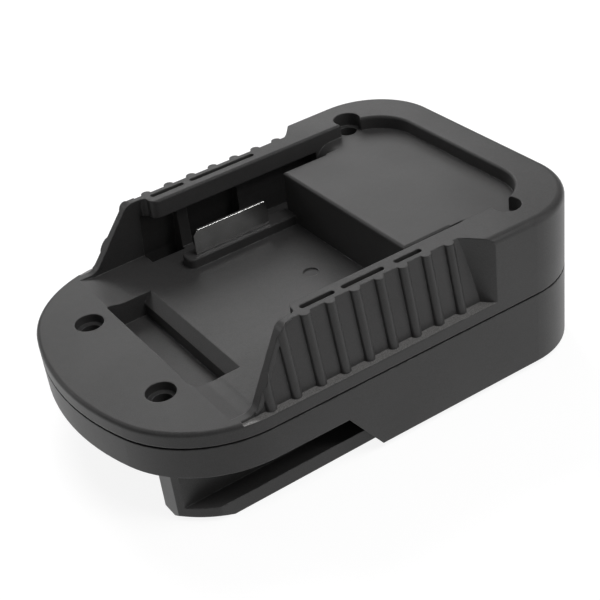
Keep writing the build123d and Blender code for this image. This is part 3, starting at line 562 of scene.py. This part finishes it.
@dataclass
class HousingScrews:
    """Thread-forming screws with a six-lobed recess, one pair for each node that they replace."""

    node: str
    head_height: float = 1.4 * MM
    head_sides: int = 48
    rim_radius: float = 0.45 * MM
    rim_segments: int = 5
    rim_margin: float = 1.05
    rim_tolerance: float = 0.05 * MM
    drive_radius: float = 1.02 * MM
    drive_depth: float = 0.8 * MM
    drive_taper: float = 0.94
    lobes: int = 6
    lobe_depth: float = 0.24
    lobe_bands: Band = (0.35, 0.8)
    shank_radius: float = 1.1 * MM
    shank_sides: int = 24
    root_share: float = 0.78
    tip_share: float = 0.35
    thread_pitch: float = 0.9 * MM
    thread_share: float = 0.3
    thread_margin: float = 0.3 * MM
    smooth_angle: float = 35.0

    def head_radius(self) -> float:
        """The radius of the head, from the node's width."""
        low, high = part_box(self.node)
        return (high.x - low.x) / 2

    def places(self) -> list[Vector]:
        """Where the two screws stand.

        Returns:
            The middle of each head's seat.
        """
        low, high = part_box(self.node)
        radius = self.head_radius()
        seat = high.z - self.head_height
        return [Vector((low.x + radius, y, seat)) for y in (low.y + radius, high.y - radius)]

    def head(self, place: Vector) -> bpy.types.Object:
        """Models the head: a disc with a rounded rim and the six-lobed recess.

        Args:
            place: The middle of the head's seat.

        Returns:
            The head.
        """
        top = place + Vector((0, 0, self.head_height))
        bpy.ops.mesh.primitive_cylinder_add(vertices=self.head_sides, radius=self.head_radius(),
                                            depth=self.head_height, location=(place + top) / 2)
        piece = bpy.context.active_object
        bpy.ops.object.transform_apply(location=True, rotation=True, scale=True)
        bpy.ops.object.mode_set(mode="EDIT")
        select_faces(piece, lambda face: face.normal.z > LEVEL_NORMAL
                     and abs(face.calc_center_median().z - top.z) < SAME_HEIGHT)
        bpy.ops.mesh.inset(thickness=self.rim_radius * self.rim_margin, depth=0.0)
        self.shape_lobes(piece, top)
        bpy.ops.mesh.extrude_region_move(
            TRANSFORM_OT_translate={"value": (0, 0, -self.drive_depth)})
        bpy.ops.transform.resize(value=(self.drive_taper, self.drive_taper, 1.0),
                                 center_override=top - Vector((0, 0, self.drive_depth)))
        self.select_rim(piece, top)
        bpy.ops.mesh.bevel(offset=self.rim_radius, segments=self.rim_segments, affect="EDGES")
        bpy.ops.object.mode_set(mode="OBJECT")
        return piece

    def shape_lobes(self, piece: bpy.types.Object, top: Vector) -> None:
        """Draws the inset face into lobes, by scaling all its points and then fewer at a time.

        Args:
            piece: The head in edit mode, with the inset face selected.
            top: The middle of the head's top.
        """
        mesh = bmesh.from_edit_mesh(piece.data)
        inner = [vertex for vertex in mesh.verts if vertex.select]
        start = sum((vertex.co - top).length for vertex in inner) / len(inner)
        ahead = Vector((1, 0))
        waves = {vertex.index: cos(self.lobes * (vertex.co - top).to_2d().angle_signed(ahead))
                 for vertex in inner}
        step = 1.0 - self.lobe_depth / 2
        shares = {min(waves.values()) - 1.0: self.drive_radius / start}
        shares.update((least, step) for least in self.lobe_bands)
        for least, share in shares.items():
            mesh = bmesh.from_edit_mesh(piece.data)
            bpy.ops.mesh.select_mode(type="VERT")
            for vertex in mesh.verts:
                vertex.select_set(waves.get(vertex.index, least) > least)
            bmesh.update_edit_mesh(piece.data)
            bpy.ops.transform.resize(value=(share, share, 1.0), center_override=top)
        bpy.ops.mesh.select_mode(type="FACE")
        select_faces(piece, lambda face: face.normal.z > LEVEL_NORMAL
                     and all(vertex.index in waves for vertex in face.verts))

    def select_rim(self, piece: bpy.types.Object, top: Vector) -> None:
        """Selects the outer edge of the head's top.

        Args:
            piece: The head in edit mode.
            top: The middle of the head's top.
        """
        bpy.ops.mesh.select_mode(type="EDGE")
        mesh = bmesh.from_edit_mesh(piece.data)
        least = self.head_radius() - self.rim_tolerance
        for edge in mesh.edges:
            ends = [vertex.co - top for vertex in edge.verts]
            edge.select_set(all(abs(end.z) < SAME_HEIGHT and end.to_2d().length > least
                                for end in ends))
        bmesh.update_edit_mesh(piece.data)

    def shank(self, place: Vector) -> bpy.types.Object:
        """Models the shank, with a smaller face set into its flat tip.

        Args:
            place: The middle of the head's seat.

        Returns:
            The shank.
        """
        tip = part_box(self.node)[0].z
        length = place.z - tip
        bpy.ops.mesh.primitive_cylinder_add(vertices=self.shank_sides, depth=length,
                                            radius=self.shank_radius * self.root_share,
                                            location=place - Vector((0, 0, length / 2)))
        piece = bpy.context.active_object
        bpy.ops.object.transform_apply(location=True, rotation=True, scale=True)
        bpy.ops.object.mode_set(mode="EDIT")
        select_faces(piece, lambda face: face.normal.z < -LEVEL_NORMAL)
        bpy.ops.mesh.extrude_region_move(TRANSFORM_OT_translate={"value": (0, 0, 0)})
        bpy.ops.transform.resize(value=(self.tip_share, self.tip_share, 1.0),
                                 center_override=(place.x, place.y, tip))
        bpy.ops.object.mode_set(mode="OBJECT")
        return piece

    def thread(self, place: Vector) -> bpy.types.Object:
        """Winds a triangle round the shank with a Screw modifier.

        Args:
            place: The middle of the head's seat.

        Returns:
            The thread.
        """
        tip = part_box(self.node)[0].z
        turns = int((place.z - tip - 2 * self.thread_margin) / self.thread_pitch) - 1
        bpy.ops.mesh.primitive_circle_add(vertices=3, radius=self.thread_pitch * self.thread_share,
                                          fill_type="NGON", rotation=(pi / 2, 0, 0))
        piece = bpy.context.active_object
        bpy.ops.object.transform_apply(location=True, rotation=True, scale=True)
        bpy.ops.object.mode_set(mode="EDIT")
        bpy.ops.mesh.select_all(action="SELECT")
        crest = max(vertex.co.x for vertex in bmesh.from_edit_mesh(piece.data).verts)
        bpy.ops.transform.translate(value=(self.shank_radius - crest, 0, 0))
        bpy.ops.mesh.delete(type="ONLY_FACE")
        bpy.ops.object.mode_set(mode="OBJECT")
        winding = piece.modifiers.new("winding", "SCREW")
        winding.angle = tau
        winding.screw_offset = self.thread_pitch
        winding.iterations = turns
        winding.steps = self.shank_sides
        winding.render_steps = self.shank_sides
        bpy.ops.object.modifier_apply(modifier=winding.name)
        bpy.ops.transform.translate(value=(place.x, place.y, tip + self.thread_margin))
        bpy.ops.object.transform_apply(location=True, rotation=True, scale=True)
        return piece

    def build(self, finishes: FinishSet) -> bpy.types.Object:
        """Models the pair and puts it in the node's place.

        Args:
            finishes: The finish of every slot.

        Returns:
            The pair as one object.
        """
        solids = []
        for place in self.places():
            for make in (self.head, self.shank, self.thread):
                deselect_all()
                solids.append(make(place))
        deselect_all()
        for solid in solids:
            solid.select_set(True)
        piece = solids[0]
        bpy.context.view_layer.objects.active = piece
        bpy.ops.object.join()
        piece.name = f"{self.node}_turned"
        bpy.ops.object.shade_smooth_by_angle(angle=radians(self.smooth_angle))
        finishes.dress(piece, Slot.SCREWS)
        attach(piece, HOUSING)
        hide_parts(self.node)
        log.info("piece %s stands for %s", piece.name, self.node)
        return piece


@dataclass(frozen=True)
class Lamp:
    """One soft square lamp that faces the object."""

    name: str
    place: Point
    size: float
    power: float
    aim: Point = (0.0, 0.0, 0.02)
    gloss: bool = True

    def hang(self) -> None:
        """Adds the lamp, which shows in reflections only where gloss says so."""
        deselect_all()
        bpy.ops.object.light_add(type="AREA", location=self.place)
        lamp = bpy.context.active_object
        lamp.name = self.name
        lamp.data.shape = "SQUARE"
        lamp.data.size = self.size
        lamp.data.energy = self.power
        lamp.visible_glossy = self.gloss
        ahead = Vector(self.aim) - Vector(self.place)
        lamp.rotation_euler = ahead.to_track_quat("-Z", "Y").to_euler()


@dataclass
class Studio:
    """The pale floor, the soft lamps, the white surroundings and the camera."""

    floor_half: float = 3.0
    floor_tints: Band = (0.97, 1.0)
    floor_blotch: float = 0.4
    floor_glow: float = 0.9
    floor_shade: float = 0.18
    floor_bounce: float = 0.2
    world_level: float = 0.12
    camera_place: Point = (-114.23 * MM, -203.81 * MM, 172.28 * MM)
    camera_aim: Point = (2.67 * MM, 1.46 * MM, 14.21 * MM)
    camera_roll: float = -7.87
    camera_range: Band = (0.01, 50.0)
    focal_pixels: float = 1295.9
    sensor_width: float = 36.0
    lamps: tuple[Lamp, ...] = (
        Lamp("key", (0.16, 0.64, 0.54), size=0.4, power=6.2, gloss=False),
        Lamp("overhead", (0.14, -0.20, 0.76), size=0.3, power=2.0, gloss=False),
        Lamp("sheen", (0.48, 0.84, 0.66), size=0.55, power=1.3),
        Lamp("rear_side", (0.55, -0.45, 0.25), size=0.35, power=0.5, aim=(0.02, 0.0, 0.02)),
        Lamp("near_edges", (0.30, -0.42, 0.55), size=0.14, power=0.5),
        Lamp("front_edges", (-0.42, 0.55, 0.34), size=0.14, power=0.3),
    )

    def build(self) -> None:
        """Makes the whole studio."""
        self.build_floor()
        self.build_world()
        for lamp in self.lamps:
            lamp.hang()
        self.build_camera()
        log.info("studio with %d lamps", len(self.lamps))

    def shadow_floor(self) -> bpy.types.Material:
        """The floor's finish: white to the camera, with the shadows left in it.

        Returns:
            The material.
        """
        graph = Graph(bpy.data.materials.new("studio_floor"))
        blotch = graph.noise(graph.coordinates(), self.floor_blotch)
        tint = graph.blend(graph.span(blotch, WIDE_BAND), grey(self.floor_tints[0]),
                           grey(self.floor_tints[1]))
        glow = graph.add("ShaderNodeEmission", {"Color": tint, "Strength": self.floor_glow})
        thin = graph.add("ShaderNodeBsdfDiffuse", {"Color": grey(self.floor_shade)})
        shown = graph.add("ShaderNodeAddShader", {0: glow.outputs[0], 1: thin.outputs[0]})
        bounce = graph.add("ShaderNodeBsdfDiffuse", {"Color": grey(self.floor_bounce)})
        mix = graph.add("ShaderNodeMixShader", {0: self.seen(graph), 1: bounce.outputs[0],
                                                2: shown.outputs[0]})
        graph.add("ShaderNodeOutputMaterial", {"Surface": mix.outputs[0]})
        return graph.owner

    def seen(self, graph: Graph) -> Socket:
        """Tells the rays that show the floor from the ones that light the object.

        Args:
            graph: The floor's node tree.

        Returns:
            1 for a ray from the camera, off a gloss or through glass, and 0 for the others.
        """
        path = graph.add("ShaderNodeLightPath")
        bright = graph.math("MAXIMUM", path.outputs["Is Camera Ray"],
                            path.outputs["Is Transmission Ray"])
        return graph.math("MAXIMUM", bright, path.outputs["Is Glossy Ray"])

    def build_floor(self) -> None:
        """Lays the floor that the adapter rests on."""
        deselect_all()
        bpy.ops.mesh.primitive_plane_add(size=2 * self.floor_half, location=(0, 0, cad_box[0].z))
        floor = bpy.context.active_object
        bpy.ops.object.transform_apply(location=True, rotation=True, scale=True)
        floor.name = "studio_floor"
        floor.data.materials.append(self.shadow_floor())

    def build_world(self) -> None:
        """Makes the surroundings: white to the camera, a mild light to the object."""
        graph = Graph(bpy.data.worlds.new("studio"))
        mild = graph.add("ShaderNodeBackground", {"Color": grey(1.0),
                                                  "Strength": self.world_level})
        white = graph.add("ShaderNodeBackground", {"Color": grey(1.0), "Strength": 1.0})
        path = graph.add("ShaderNodeLightPath")
        mix = graph.add("ShaderNodeMixShader", {0: path.outputs["Is Camera Ray"],
                                                1: mild.outputs[0], 2: white.outputs[0]})
        graph.add("ShaderNodeOutputWorld", {"Surface": mix.outputs[0]})
        bpy.context.scene.world = graph.owner

    def build_camera(self) -> None:
        """Stands the camera where the photograph was taken from."""
        data = bpy.data.cameras.new("photograph_view")
        camera = bpy.data.objects.new("photograph_view", data)
        bpy.context.scene.collection.objects.link(camera)
        data.sensor_width = self.sensor_width
        data.lens = self.focal_pixels / PICTURE_SIZE * self.sensor_width
        data.clip_start, data.clip_end = self.camera_range
        place = Vector(self.camera_place)
        ahead = Vector(self.camera_aim) - place
        roll = Quaternion((0, 0, 1), radians(self.camera_roll))
        camera.location = place
        camera.rotation_mode = "QUATERNION"
        camera.rotation_quaternion = ahead.to_track_quat("-Z", "Y") @ roll
        bpy.context.scene.camera = camera


def set_view() -> None:
    """Shows colours as they are written."""
    bpy.context.scene.view_settings.view_transform = "Standard"


def main() -> None:
    """Dresses the nodes, models the fasteners and builds the studio."""
    logging.basicConfig(level=logging.INFO, format="%(message)s")
    set_view()
    finishes = FinishSet()
    finishes.build()
    finishes.dress_nodes()
    for node in SCREW_NODES:
        HousingScrews(node).build(finishes)
    Studio().build()


if __name__ == "__main__":
    main()
